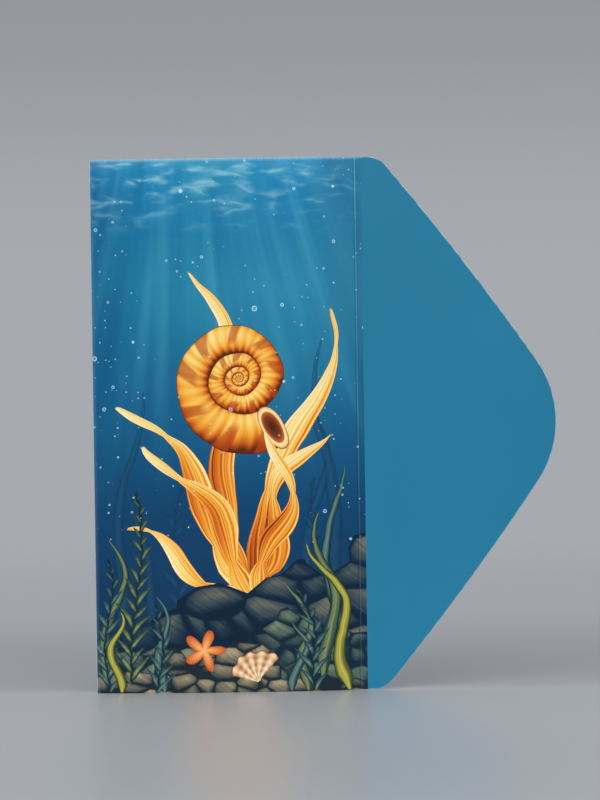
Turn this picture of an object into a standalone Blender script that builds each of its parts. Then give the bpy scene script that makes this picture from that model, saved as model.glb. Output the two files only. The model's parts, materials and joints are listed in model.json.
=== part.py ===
# Envelope for a gift of banknotes, standing on a short edge with its flap opened out.
#
# It is one die-cut sheet of coated card. Creases split the sheet into panels: the printed front, the back
# behind it, a tab at each short edge that is turned in and glued to the back, and a tapered flap. The pocket's
# mouth is the long edge beside the flap. Metres, +Z up, with the front facing -Y and the flap to +X.
#
# Every layer of the pocket is bowed round one upright axis, so the layers stay parallel. A panel starts as a
# flat grid that is wrapped onto its place in the bow, and Solidify gives it the card's thickness.

from math import asin, atan2, cos, pi, radians, sin, tan

import bmesh
import bpy
from mathutils import Matrix, Vector

for leftover in list(bpy.data.objects):
    bpy.data.objects.remove(leftover)

# The pocket
POCKET_WIDTH = 0.082  # left fold to flap crease, straight across
POCKET_HEIGHT = 0.165
POCKET_BOW = 0.0045  # the front's middle stands this far forward of its long edges
CARD_THICKNESS = 0.00035  # coated card of about 300 grams a square metre
LAYER_GAP = 0.00015  # air between two layers that lie on each other
SEAM = 0.0002  # between two panels, where the sheet is creased

# The mouth
MOUTH_SPRING = 0.006  # the back springs this far away from the front at the middle of the mouth
MOUTH_SETBACK = 0.0015  # the back's free edge stops this short of the flap's crease

# The tabs at the short edges, and their glue
TAB_WIDTH = 0.013  # from the pocket's end to the tab's free edge
TAB_SETBACK = 0.0006  # each end of a tab's root, from the ends of its fold
TAB_TAPER = 0.007  # each end of a tab steps in this much more at its free edge
GLUE_WIDTH = 0.007
GLUE_THICKNESS = 0.0001
GLUE_INSET = 0.002  # between a line of glue's ends and the tab's

# The flap's crease, pressed in from the printed side
CREASE_WIDTH = 0.001
CREASE_SINK = 0.00012

# The flap
FLAP_DEPTH = 0.0617  # crease to tip
FLAP_SWEEP = radians(6)  # leans back this much, where a used crease holds it
FLAP_SHOULDER = 0.0037  # straight edge between the crease and the rounded corner
FLAP_CORNER_RADIUS = 0.008
FLAP_TIP_RADIUS = 0.033
FLAP_SIDE_BEND = radians(5.2)  # how far each side turns between corner and tip, as it is a little convex
FLAP_RELIEF = 0.0002  # the flap stops this short of the pocket's ends, clear of the table
FLAP_SEAM = 0.0003  # between crease and flap, room for the flap to be pressed a little further open
CLOSING_CLEARANCE = 0.0005  # between the closed flap and the mouth's sprung edge

# Counts of facets
BOW_STEPS = 32
MOUTH_STEPS = 24
FOLD_STEPS = 10
CREASE_STEPS = 8
TAB_STEPS = 2
CURVE_STEPS = 12

# Depths of the layers, each measured back from the front's printed face
TAB_BACK = 2 * CARD_THICKNESS + LAYER_GAP
GLUE_BACK = TAB_BACK + LAYER_GAP + GLUE_THICKNESS
POCKET_DEPTH = GLUE_BACK + LAYER_GAP + CARD_THICKNESS
END_FOLD_RADIUS = TAB_BACK / 2
SPINE_RADIUS = POCKET_DEPTH / 2

# The bow: an arc through both long edges and the crown
BOW_RADIUS = (POCKET_WIDTH**2 / 4 + POCKET_BOW**2) / (2 * POCKET_BOW)
BOW_HALF_ANGLE = asin(POCKET_WIDTH / 2 / BOW_RADIUS)
BOW_CENTRE = Vector((0, BOW_RADIUS - POCKET_BOW, 0))


def arc(length):
    """The angle that a length along the printed face takes up."""
    return length / BOW_RADIUS


SPINE_ANGLE = arc(SPINE_RADIUS) - BOW_HALF_ANGLE
PANEL_START = SPINE_ANGLE + arc(SEAM)
FRONT_END = BOW_HALF_ANGLE - arc(CREASE_WIDTH / 2 + SEAM)
BACK_END = BOW_HALF_ANGLE - arc(MOUTH_SETBACK)

# The flap hangs on the crease but turns about a line inside the pocket's depth, as the crease rolls round
# the sprung mouth, so the closed flap lies behind the back
HINGE_DEPTH = (POCKET_DEPTH + MOUTH_SPRING + CARD_THICKNESS + CLOSING_CLEARANCE) / 2


def bowed(angle, depth, height):
    """A point on the bow, at a depth behind the printed face."""
    radius = BOW_RADIUS - depth
    return BOW_CENTRE + Vector((radius * sin(angle), -radius * cos(angle), height))


def between(start, end, share):
    return start + (end - start) * share


def card_finish(name, colour, roughness):
    """One plain finish. Coated card is a smooth dielectric."""
    finish = bpy.data.materials.new(name)
    finish.use_nodes = True
    shader = finish.node_tree.nodes["Principled BSDF"]
    shader.inputs["Base Color"].default_value = (*colour, 1)
    shader.inputs["Roughness"].default_value = roughness
    shader.inputs["Metallic"].default_value = 0
    return finish


PRINT_BLUE = (0.021, 0.187, 0.323)
DEEP_BLUE = (0.018, 0.11, 0.22)
CARD_WHITE = (0.83, 0.83, 0.8)
DRY_GLUE = (0.72, 0.7, 0.62)
GLOSS_SHARE = 0.38
MATT_SHARE = 0.6

parts = bpy.data.collections.new("money_envelope")
bpy.context.scene.collection.children.link(parts)
pocket = bpy.data.objects.new("pocket_place", None)
flap_fold = bpy.data.objects.new("flap_fold_axis", None)
flap_fold.parent = pocket
parts.objects.link(pocket)
parts.objects.link(flap_fold)


def sheet(name, place, columns, rows, thickness, colour, roughness=GLOSS_SHARE):
    """A flat grid wrapped onto place(across, up), both from 0 to 1, with its thickness behind that face."""
    shape = bmesh.new()
    bmesh.ops.create_grid(shape, x_segments=columns, y_segments=rows, size=1)  # from -1 to 1 each way
    for vertex in shape.verts:
        vertex.co = place((vertex.co.x + 1) / 2, (vertex.co.y + 1) / 2)
    mesh = bpy.data.meshes.new(name)
    shape.to_mesh(mesh)
    shape.free()
    mesh.shade_smooth()
    piece = bpy.data.objects.new(name, mesh)
    piece.parent = pocket
    parts.objects.link(piece)
    wall = piece.modifiers.new("card", "SOLIDIFY")
    wall.thickness = thickness
    wall.offset = -1
    wall.use_even_offset = True
    mesh.materials.append(card_finish(name, colour, roughness))


def make_front():
    low = END_FOLD_RADIUS + SEAM

    def place(across, up):
        height = between(low, POCKET_HEIGHT - low, up)
        return bowed(between(PANEL_START, FRONT_END, across), 0, height)

    sheet("front_panel", place, BOW_STEPS, 1, CARD_THICKNESS, DEEP_BLUE)


def mouth_spring(angle, height):
    """How far the back stands off at a point: nothing at the spine and over the glue, most in mid mouth."""
    across = (angle - PANEL_START) / (BACK_END - PANEL_START)
    up = (height - POCKET_HEIGHT / 2) / (POCKET_HEIGHT / 2 - TAB_WIDTH)
    return MOUTH_SPRING * across * max(0, 1 - up**2) ** 2


def make_back():
    """The grid runs from the mouth to the spine, so that its printed side faces back."""

    def place(across, up):
        angle = between(BACK_END, PANEL_START, across)
        height = POCKET_HEIGHT * up
        return bowed(angle, POCKET_DEPTH + mouth_spring(angle, height), height)

    sheet("back_panel", place, BOW_STEPS, MOUTH_STEPS, CARD_THICKNESS, PRINT_BLUE)


def make_spine():
    """A half tube from the back round to the front, about an upright line in mid depth."""
    centre = bowed(SPINE_ANGLE, SPINE_RADIUS, 0)
    forward = (bowed(SPINE_ANGLE, 0, 0) - centre).normalized()
    outward = forward.cross(Vector((0, 0, 1)))

    def place(across, up):
        turn = pi * (1 - across)
        radial = forward * cos(turn) + outward * sin(turn)
        return centre + radial * SPINE_RADIUS + Vector((0, 0, POCKET_HEIGHT * up))

    sheet("spine_fold", place, FOLD_STEPS, 1, CARD_THICKNESS, DEEP_BLUE)


def make_end(end_name, base, rise):
    """The fold, the tab and the glue at one short edge. base is that edge's height, rise is into the pocket."""

    def fold_place(across, up):
        turn = pi * up if rise < 0 else pi * (1 - up)
        depth = END_FOLD_RADIUS * (1 - cos(turn))
        height = base + rise * END_FOLD_RADIUS * (1 - sin(turn))
        return bowed(between(PANEL_START, FRONT_END, across), depth, height)

    sheet(end_name + "_fold", fold_place, BOW_STEPS, FOLD_STEPS, CARD_THICKNESS, DEEP_BLUE)

    def tab_place(across, up):
        in_share = 1 - up if rise < 0 else up
        inset = arc(TAB_SETBACK + TAB_TAPER * in_share)
        root = END_FOLD_RADIUS + SEAM
        height = base + rise * between(root, TAB_WIDTH, in_share)
        return bowed(between(BACK_END - inset, PANEL_START + inset, across), TAB_BACK, height)

    sheet(end_name + "_tab", tab_place, BOW_STEPS, TAB_STEPS, CARD_THICKNESS, CARD_WHITE, MATT_SHARE)

    def glue_place(across, up):
        inset = arc(TAB_SETBACK + TAB_TAPER + GLUE_INSET)
        height = base + rise * TAB_WIDTH / 2 + GLUE_WIDTH * (up - 1 / 2)
        return bowed(between(BACK_END - inset, PANEL_START + inset, across), GLUE_BACK, height)

    sheet(end_name + "_glue", glue_place, BOW_STEPS, 1, GLUE_THICKNESS, DRY_GLUE)


def make_crease():
    """A narrow strip with a channel down its printed side and a bead of the same height behind."""

    def place(across, up):
        angle = BOW_HALF_ANGLE + arc(CREASE_WIDTH * (across - 1 / 2))
        depth = CREASE_SINK * (1 - cos(2 * pi * across)) / 2
        return bowed(angle, depth, between(FLAP_RELIEF, POCKET_HEIGHT - FLAP_RELIEF, up))

    sheet("flap_crease", place, CREASE_STEPS, 1, CARD_THICKNESS, DEEP_BLUE)


def handle_length(radius, sweep):
    """A Bezier handle that makes a round arc."""
    return radius * tan(sweep / 4) * 4 / 3


def common_slope(corner, corner_radius, tip, tip_radius):
    """The slope of the straight line that touches both circles on their outer side."""
    run = tip - corner
    return atan2(run.y, run.x) - asin((tip_radius - corner_radius) / run.length)


def add_outline(curve, knots):
    """A closed outline from (point, handle before, handle after). A handle of None is a straight side."""
    outline = curve.splines.new("BEZIER")
    outline.bezier_points.add(len(knots) - 1)
    outline.use_cyclic_u = True
    for knot, (point, before, after) in zip(outline.bezier_points, knots):
        knot.co = (*point, 0)
        knot.handle_left_type = "FREE" if before else "VECTOR"
        knot.handle_right_type = "FREE" if after else "VECTOR"
        if before:
            knot.handle_left = (*before, 0)
        if after:
            knot.handle_right = (*after, 0)


def flap_knots():
    """The flap's outline, from its lower root corner round the tip to the upper one."""
    half = POCKET_HEIGHT / 2 - FLAP_RELIEF
    root = CREASE_WIDTH / 2 + FLAP_SEAM
    corner = Vector((FLAP_SHOULDER, FLAP_CORNER_RADIUS - half))
    tip = Vector((FLAP_DEPTH - FLAP_TIP_RADIUS, 0))
    slope = common_slope(corner, FLAP_CORNER_RADIUS, tip, FLAP_TIP_RADIUS)
    start_slope = slope - FLAP_SIDE_BEND / 2
    end_slope = slope + FLAP_SIDE_BEND / 2
    corner_normal = Vector((sin(start_slope), -cos(start_slope)))
    tip_normal = Vector((sin(end_slope), -cos(end_slope)))
    corner_along = Vector((-corner_normal.y, corner_normal.x))
    tip_along = Vector((-tip_normal.y, tip_normal.x))
    corner_handle = handle_length(FLAP_CORNER_RADIUS, start_slope)
    tip_handle = handle_length(FLAP_TIP_RADIUS, pi - 2 * end_slope)

    shoulder_end = corner + Vector((0, -FLAP_CORNER_RADIUS))
    side_start = corner + corner_normal * FLAP_CORNER_RADIUS
    side_end = tip + tip_normal * FLAP_TIP_RADIUS
    side_handle = (side_end - side_start).length / 3
    lower = [
        (Vector((root, -half)), None, None),
        (shoulder_end, None, shoulder_end + Vector((corner_handle, 0))),
        (
            side_start,
            side_start - corner_along * corner_handle,
            side_start + corner_along * side_handle,
        ),
        (side_end, side_end - tip_along * side_handle, side_end + tip_along * tip_handle),
    ]

    def mirrored(place):
        return Vector((place.x, -place.y)) if place else None

    upper = [tuple(map(mirrored, (point, after, before))) for point, before, after in lower]
    return lower + upper[::-1]


def make_flap():
    """A flat card plate, drawn in its own plane and stood up beside the crease."""
    crease = bowed(BOW_HALF_ANGLE, 0, 0)
    flap_fold.location = crease + Vector((0, HINGE_DEPTH, 0))
    curve = bpy.data.curves.new("flap", "CURVE")
    curve.dimensions = "2D"
    curve.fill_mode = "BOTH"
    curve.extrude = CARD_THICKNESS / 2
    curve.resolution_u = CURVE_STEPS
    add_outline(curve, flap_knots())
    flap = bpy.data.objects.new("flap", curve)
    flap.parent = flap_fold
    stand = Matrix.Rotation(FLAP_SWEEP, 4, "Z") @ Matrix.Rotation(pi / 2, 4, "X")
    behind = Matrix.Rotation(FLAP_SWEEP, 4, "Z") @ Vector((0, CARD_THICKNESS / 2, 0))
    middle = crease - flap_fold.location + behind + Vector((0, 0, POCKET_HEIGHT / 2))
    flap.matrix_basis = Matrix.Translation(middle) @ stand
    parts.objects.link(flap)
    curve.materials.append(card_finish("flap", PRINT_BLUE, GLOSS_SHARE))


def stand_on_origin():
    """Puts the centre of the whole envelope's base at the origin."""
    bpy.context.view_layer.update()
    graph = bpy.context.evaluated_depsgraph_get()
    points = []
    for piece in parts.objects:
        if piece.type != "EMPTY":
            solid = piece.evaluated_get(graph)
            points += [solid.matrix_world @ vertex.co for vertex in solid.to_mesh().vertices]
            solid.to_mesh_clear()
    low = Vector(map(min, *points))
    high = Vector(map(max, *points))
    pocket.location = -Vector(((low.x + high.x) / 2, (low.y + high.y) / 2, low.z))
    bpy.context.view_layer.update()
    print("size", [round(side, 6) for side in high - low])


make_front()
make_back()
make_spine()
make_end("top", POCKET_HEIGHT, -1)
make_end("bottom", 0, 1)
make_crease()
make_flap()
stand_on_origin()

# Where the flap turns, the two flat faces that something can rest on or be stuck to, and the open mouth
flap_normal = Matrix.Rotation(FLAP_SWEEP, 3, "Z") @ Vector((0, -1, 0))
foot = pocket.matrix_world @ bowed(0, POCKET_DEPTH - CARD_THICKNESS / 2, 0)
flap_middle = Matrix.Rotation(FLAP_SWEEP, 3, "Z") @ Vector((FLAP_DEPTH / 2, 0, 0))
flap_face = pocket.matrix_world @ (bowed(BOW_HALF_ANGLE, 0, POCKET_HEIGHT / 2) + flap_middle)
print("flap fold axis at", [round(place, 6) for place in flap_fold.matrix_world.translation])
print("foot face at", [round(place, 6) for place in foot])
print("flap face at", [round(place, 6) for place in flap_face], "facing", [round(v, 6) for v in flap_normal])
print("mouth opens", round(MOUTH_SPRING + POCKET_DEPTH - 2 * CARD_THICKNESS, 6))
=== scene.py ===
# %% [markdown]
# # An envelope for a gift of banknotes
#
# The real object is one die-cut sheet of coated card. Its outer side is printed: a sea picture covers the
# front, and the flap and the back are a plain blue. Creases and folds turn the sheet into a pocket that
# stands on a short edge, with its mouth on the long side beside the open flap.
#
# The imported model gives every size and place. It is loaded first and never changed, and the pieces made
# below take the place of its plain solids.

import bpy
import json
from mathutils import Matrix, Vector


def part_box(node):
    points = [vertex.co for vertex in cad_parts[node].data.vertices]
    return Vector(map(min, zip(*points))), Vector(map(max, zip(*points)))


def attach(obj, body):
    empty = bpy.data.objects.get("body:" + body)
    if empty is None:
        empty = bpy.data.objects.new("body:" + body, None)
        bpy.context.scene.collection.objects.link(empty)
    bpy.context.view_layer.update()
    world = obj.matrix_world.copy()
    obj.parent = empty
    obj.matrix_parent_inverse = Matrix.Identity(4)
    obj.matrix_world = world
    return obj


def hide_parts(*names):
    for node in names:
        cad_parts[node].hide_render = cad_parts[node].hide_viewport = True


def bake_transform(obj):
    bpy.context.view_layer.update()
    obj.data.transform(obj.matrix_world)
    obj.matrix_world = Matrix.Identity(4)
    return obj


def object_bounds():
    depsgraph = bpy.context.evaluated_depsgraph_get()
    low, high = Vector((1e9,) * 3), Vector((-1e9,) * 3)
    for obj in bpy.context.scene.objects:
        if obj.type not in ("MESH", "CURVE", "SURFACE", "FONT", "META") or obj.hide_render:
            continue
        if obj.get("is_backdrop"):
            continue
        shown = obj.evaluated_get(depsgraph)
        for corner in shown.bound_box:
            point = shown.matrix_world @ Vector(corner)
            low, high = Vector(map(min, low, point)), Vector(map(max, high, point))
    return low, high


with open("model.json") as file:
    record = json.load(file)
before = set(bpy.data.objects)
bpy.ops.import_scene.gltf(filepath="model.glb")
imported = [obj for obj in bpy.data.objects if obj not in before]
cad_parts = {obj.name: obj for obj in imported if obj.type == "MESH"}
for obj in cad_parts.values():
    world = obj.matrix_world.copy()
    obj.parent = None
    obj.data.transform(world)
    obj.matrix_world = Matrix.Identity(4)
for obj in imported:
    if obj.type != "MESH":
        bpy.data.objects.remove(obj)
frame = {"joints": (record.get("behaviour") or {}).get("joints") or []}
cad_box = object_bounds()
print("box of the model", [tuple(round(side, 5) for side in corner) for corner in cad_box])

# %% [markdown]
# ## Sizes
#
# The front is bowed a little towards the viewer, so all its layers lie on arcs round one upright axis far
# behind it. Two points of the frame fix that axis: the crown, which is the front's nearest point, and the
# crease of the flap. A point of the pocket is then named by its angle on the bow, its depth behind the
# printed face and its height, which is how the sheet was folded too.

# %% Name the sizes
import json
from math import asin, atan2, cos, hypot, pi, radians, sin

import bmesh
import bpy
from mathutils import Matrix, Vector

MM = 0.001

POCKET_WIDTH = 82 * MM
POCKET_BOW = 4.5 * MM
POCKET_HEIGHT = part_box("back_panel")[1].z
CARD = 0.35 * MM
END_FOLD_RADIUS = 0.425 * MM
SPINE_RADIUS = 0.8 * MM
POCKET_DEPTH = 2 * SPINE_RADIUS
TAB_DEPTH = 2 * END_FOLD_RADIUS
SEAM = 0.2 * MM

hinge = Vector(frame["joints"][0]["pos_m"])
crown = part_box("front_panel")[0].y
BOW_RADIUS = (POCKET_WIDTH**2 / 4 + POCKET_BOW**2) / (2 * POCKET_BOW)
HALF_BOW = asin(POCKET_WIDTH / 2 / BOW_RADIUS)
bow_axis = Vector((hinge.x - POCKET_WIDTH / 2, crown + BOW_RADIUS, 0))
MIDDLE_HEIGHT = POCKET_HEIGHT / 2


def on_bow(angle, depth, height):
    """A point of the pocket, in the frame's metres."""
    radius = BOW_RADIUS - depth
    return bow_axis + Vector((radius * sin(angle), -radius * cos(angle), height))


def arc(length):
    """The angle that a length of the printed face takes up on the bow."""
    return length / BOW_RADIUS


SPINE_ANGLE = arc(SPINE_RADIUS) - HALF_BOW
WALL_START = SPINE_ANGLE + arc(SEAM)
crease = on_bow(HALF_BOW, 0, 0)
FRONT_LENGTH = BOW_RADIUS * 2 * HALF_BOW
print("bow radius", round(BOW_RADIUS, 4), "crease at", tuple(round(side, 5) for side in crease))

# %% [markdown]
# ## The camera
#
# The picture of the envelope shows almost no perspective: its upright edges stay parallel. So the camera
# stands far back with a long lens. It looks down by less than two degrees and leans by less than one, which
# is what the slopes and the bows of the top and bottom edges give.

# %% Set up the camera
PICTURE_WIDTH = 600
PICTURE_HEIGHT = 800
CAMERA_DISTANCE = 2.5
CAMERA_YAW = radians(-0.83)
CAMERA_PITCH = radians(1.51)
CAMERA_ROLL = radians(0.82)
PIXELS_PER_METRE = 3235.5
MIDDLE_PIXEL = (324.7, 423.5)  # where the middle of the box of the whole envelope lies in the picture
LONG_SIDE_OF_SENSOR = 36
NEAREST_SEEN = 0.1
FARTHEST_SEEN = 20

view = Vector((sin(CAMERA_YAW) * cos(CAMERA_PITCH), cos(CAMERA_YAW) * cos(CAMERA_PITCH), -sin(CAMERA_PITCH)))
level_right = Vector((cos(CAMERA_YAW), -sin(CAMERA_YAW), 0))
level_up = level_right.cross(view)
right = level_right * cos(CAMERA_ROLL) - level_up * sin(CAMERA_ROLL)
up = level_up * cos(CAMERA_ROLL) + level_right * sin(CAMERA_ROLL)
aim = Vector((0, 0, MIDDLE_HEIGHT))
aim += right * (PICTURE_WIDTH / 2 - MIDDLE_PIXEL[0]) / PIXELS_PER_METRE
aim += up * (MIDDLE_PIXEL[1] - PICTURE_HEIGHT / 2) / PIXELS_PER_METRE

camera = bpy.data.objects.new("camera", bpy.data.cameras.new("camera"))
bpy.context.scene.collection.objects.link(camera)
camera.data.sensor_width = LONG_SIDE_OF_SENSOR
camera.data.lens = LONG_SIDE_OF_SENSOR * PIXELS_PER_METRE * CAMERA_DISTANCE / PICTURE_HEIGHT
camera.data.clip_start = NEAREST_SEEN
camera.data.clip_end = FARTHEST_SEEN
turn_of_camera = Matrix((right, up, -view)).transposed().to_4x4()
camera.matrix_world = Matrix.Translation(aim - view * CAMERA_DISTANCE) @ turn_of_camera
bpy.context.scene.camera = camera
bpy.context.scene.view_settings.view_transform = "Standard"
print("lens", round(camera.data.lens, 1), "mm, camera at", tuple(round(side, 3) for side in camera.location))

# %% [markdown]
# ## A few hand tools
#
# Every piece starts as a small plane of which one corner is kept. From there it grows like a drawing: a
# corner or an edge is extruded along a line, or spun about an axis like the leg of a compass. Operators act
# on what is selected, so the helpers below deselect all before they pick corners by their place.

# %% Make the hand tools
START_SIZE = 1 * MM
CLOSE = 0.001 * MM


def start_at(name, place):
    """A new mesh with a single corner at that place, left in edit mode."""
    bpy.ops.object.select_all(action="DESELECT")
    half = START_SIZE / 2
    bpy.ops.mesh.primitive_plane_add(size=START_SIZE, location=place + Vector((half, half, 0)))
    piece = bpy.context.object
    piece.name = name
    piece.data.name = name
    bpy.ops.object.transform_apply(location=True, rotation=True, scale=True)
    bpy.ops.object.mode_set(mode="EDIT")
    bpy.ops.mesh.select_mode(type="VERT")
    pick(lambda corner: (corner - place).length > half)
    bpy.ops.mesh.delete(type="VERT")
    bpy.ops.mesh.select_all(action="SELECT")
    return piece


def pick(wanted):
    """Selects just the corners whose place passes the test, with the edges and faces between them."""
    bpy.ops.mesh.select_all(action="DESELECT")
    shape = bmesh.from_edit_mesh(bpy.context.edit_object.data)
    for corner in shape.verts:
        corner.select = wanted(corner.co)
    shape.select_flush_mode()
    bmesh.update_edit_mesh(bpy.context.edit_object.data)
    return sum(corner.select for corner in shape.verts)


def extrude(step):
    """Pulls the selected corner or edge out by a step, and leaves the new one selected."""
    bpy.ops.mesh.extrude_region_move(TRANSFORM_OT_translate={"value": step})


def swing(centre, axis, angle, steps):
    """Spins the selection about an axis, the right-handed way. The operator itself counts the other way."""
    bpy.ops.mesh.spin(steps=steps, angle=-angle, center=centre, axis=axis)


def stretch(about, sideways, upright):
    """Scales the selection about a point, level and upright by different amounts."""
    bpy.ops.transform.resize(value=(sideways, sideways, upright), center_override=about)


UPRIGHT = Vector((0, 0, 1))

# %% [markdown]
# ## The flap's outline
#
# The flap is a tapered plate with a short straight shoulder, a small rounded corner, a side that is bowed
# out very slightly, and a wide round tip. A cutting die for it is bent from such lines and arcs, and here
# the outline is drawn in the same way: one corner is walked along the shoulder and swung round each centre
# in turn. Each arc meets the next one without a kink because it ends where both have the same slope.

# %% Draw the flap's outline
FLAP_DEPTH = 61.7 * MM
FLAP_SWEEP = radians(6)
FLAP_SHOULDER = 3.7 * MM
CORNER_RADIUS = 8 * MM
TIP_RADIUS = 33 * MM
SIDE_BEND = radians(5.2)
FLAP_ROOT = 0.8 * MM
FLAP_RELIEF = 0.2 * MM
CORNER_STEPS = 14
SIDE_STEPS = 16
TIP_STEPS = 40

out = Vector((cos(FLAP_SWEEP), sin(FLAP_SWEEP), 0))
flap_front = out.cross(UPRIGHT)
half_flap = MIDDLE_HEIGHT - FLAP_RELIEF


def on_flap(away, height):
    """A point of the flap's printed face: away from the crease, and up or down from mid height."""
    return crease + out * away + UPRIGHT * (MIDDLE_HEIGHT + height)


corner_away, corner_up = FLAP_SHOULDER, CORNER_RADIUS - half_flap
tip_away = FLAP_DEPTH - TIP_RADIUS
run = hypot(tip_away - corner_away, corner_up)
slope = atan2(-corner_up, tip_away - corner_away) - asin((TIP_RADIUS - CORNER_RADIUS) / run)
start_slope = slope - SIDE_BEND / 2
end_slope = slope + SIDE_BEND / 2
side_start = (corner_away + CORNER_RADIUS * sin(start_slope), corner_up - CORNER_RADIUS * cos(start_slope))
side_end = (tip_away + TIP_RADIUS * sin(end_slope), -TIP_RADIUS * cos(end_slope))
side_length = hypot(side_end[0] - side_start[0], side_end[1] - side_start[1])
side_radius = side_length / 2 / sin(SIDE_BEND / 2)
side_slope = atan2(side_end[1] - side_start[1], side_end[0] - side_start[0])
side_away = side_start[0] - side_radius * sin(side_slope - SIDE_BEND / 2)
side_up = side_start[1] + side_radius * cos(side_slope - SIDE_BEND / 2)

front_sheet = start_at("front_sheet", on_flap(FLAP_ROOT, -half_flap))
extrude(out * (FLAP_SHOULDER - FLAP_ROOT))
swing(on_flap(corner_away, corner_up), flap_front, start_slope, CORNER_STEPS)
swing(on_flap(side_away, side_up), flap_front, SIDE_BEND, SIDE_STEPS)
swing(on_flap(tip_away, 0), flap_front, pi - 2 * end_slope, TIP_STEPS)
swing(on_flap(side_away, -side_up), flap_front, SIDE_BEND, SIDE_STEPS)
swing(on_flap(corner_away, -corner_up), flap_front, start_slope, CORNER_STEPS)
extrude(out * (FLAP_ROOT - FLAP_SHOULDER))
bpy.ops.mesh.select_all(action="SELECT")
bpy.ops.mesh.edge_face_add()
print("flap side", round(side_length / MM, 1), "mm long at a radius of", round(side_radius / MM), "mm")

# %% [markdown]
# ## The cut edge and the bending zone
#
# A die presses the printed face down a little before it parts the card, so the very edge is rolled off. An
# inset gives the outline a band 0.2 mm wide, and the outline itself is moved back by 0.05 mm. The band also
# lets the print wear thin there, and carries a painted highlight that is stronger towards the top.
#
# Near the crease the flap has to bend when it closes, and a face can only bend where it has corners. Bisect
# cuts upright columns into that zone and leaves the rest of the flap as one flat face.

# %% Roll the edge and cut the columns
EDGE_BAND = 0.2 * MM
EDGE_ROLL = 0.05 * MM
BEND_END = 5 * MM
BEND_COLUMNS = 17

bpy.ops.mesh.inset(thickness=EDGE_BAND)


def on_outline(corner):
    """True on the cut outline, past the root, which isn't a cut edge."""
    away = (corner - crease).dot(out)
    height = abs(corner.z - MIDDLE_HEIGHT)
    if away < FLAP_ROOT + CLOSE:
        return False
    if away < side_start[0]:
        past_shoulder = max(0, away - corner_away)
        edge = -corner_up + (CORNER_RADIUS**2 - past_shoulder**2) ** 0.5
        return height > edge - EDGE_BAND / 2
    near_side = hypot(away - side_away, height - -side_up)
    near_tip = hypot(away - tip_away, height)
    if away < side_end[0]:
        return near_side > side_radius - EDGE_BAND / 2
    return near_tip > TIP_RADIUS - EDGE_BAND / 2


rolled = pick(on_outline)
bpy.ops.transform.translate(value=-flap_front * EDGE_ROLL)
for column in range(1, BEND_COLUMNS + 1):
    away = FLAP_ROOT + (BEND_END - FLAP_ROOT) * column / BEND_COLUMNS
    bpy.ops.mesh.select_all(action="SELECT")
    bpy.ops.mesh.bisect(plane_co=on_flap(away, 0), plane_no=out)
print("rolled corners", rolled, "of", 2 * (CORNER_STEPS + SIDE_STEPS) + TIP_STEPS + 3)

# %% [markdown]
# ## Crease, front and left fold
#
# The same sheet goes on to the left. Its root edge is extruded through the crease, a channel 1 mm wide that
# a rule pressed into the printed side. Then the edge is spun about the far bow axis for the front, and
# about the axis of the left fold for half a turn, which ends facing backwards.

# %% Extrude the crease and spin the front
CREASE_WIDTH = 1 * MM
CREASE_SINK = 0.12 * MM
CREASE_STEPS = 8
FRONT_STEPS = 32
SPINE_STEPS = 10
FRONT_END = HALF_BOW - arc(CREASE_WIDTH / 2 + SEAM)
BACK_LAP = 1 * MM

here = on_flap(FLAP_ROOT, -MIDDLE_HEIGHT)
pick(lambda corner: (corner - here).cross(UPRIGHT).length < CLOSE)
for step in range(CREASE_STEPS + 1):
    across = 1 - step / CREASE_STEPS
    sink = CREASE_SINK * (1 - cos(2 * pi * across)) / 2
    there = on_bow(HALF_BOW + arc(CREASE_WIDTH * (across - 0.5)), sink, 0)
    extrude(there - here)
    here = there
extrude(on_bow(FRONT_END, 0, 0) - here)
half_wall = MIDDLE_HEIGHT - END_FOLD_RADIUS
stretch(on_bow(FRONT_END, 0, MIDDLE_HEIGHT), 1, half_wall / half_flap)
swing(bow_axis, UPRIGHT, WALL_START - FRONT_END, FRONT_STEPS)
extrude(on_bow(SPINE_ANGLE, 0, 0) - on_bow(WALL_START, 0, 0))
stretch(on_bow(SPINE_ANGLE, 0, MIDDLE_HEIGHT), 1, MIDDLE_HEIGHT / half_wall)
swing(on_bow(SPINE_ANGLE, SPINE_RADIUS, 0), UPRIGHT, -pi, SPINE_STEPS)
swing(bow_axis, UPRIGHT, arc(BACK_LAP), 1)
reach = [corner.co.x for corner in bmesh.from_edit_mesh(front_sheet.data).verts]
print("sheet reaches from", round(min(reach), 5), "to", round(max(reach), 5))

# %% [markdown]
# ## End folds and tabs
#
# At each short edge the front goes over a fold of half a turn and comes down behind as a tab, which is
# glued to the back. The fold follows the bow, so it can't be spun about one straight axis. It is extruded
# in small steps instead: each step moves up or down, and scales towards the bow's axis to gain depth. The
# tab's ends are cut off slanting, as on any carton, so that they don't catch while it is folded.

# %% Fold the ends
FOLD_STEPS = 12
TAB_WIDTH = 13 * MM
TAB_SETBACK = 0.6 * MM
TAB_TAPER = 7 * MM
MOUTH_SETBACK = 1.5 * MM
BACK_END = HALF_BOW - arc(MOUTH_SETBACK)


def angle_on_bow(place):
    return atan2(place.x - bow_axis.x, bow_axis.y - place.y)


def depth_on_bow(place):
    return BOW_RADIUS - hypot(place.x - bow_axis.x, place.y - bow_axis.y)


def snip(angle_at_root, angle_at_edge, root_height, edge_height):
    """Cuts the tab along a slanting line and drops what lies outside it."""
    root = on_bow(angle_at_root, TAB_DEPTH, root_height)
    edge = on_bow(angle_at_edge, TAB_DEPTH, edge_height)
    outward = (edge - root).cross(root - on_bow(angle_at_root, 0, root_height))
    if outward.x * (angle_at_root - angle_at_edge) < 0:
        outward = -outward
    bpy.ops.mesh.bisect(plane_co=root, plane_no=outward, clear_outer=True)


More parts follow.
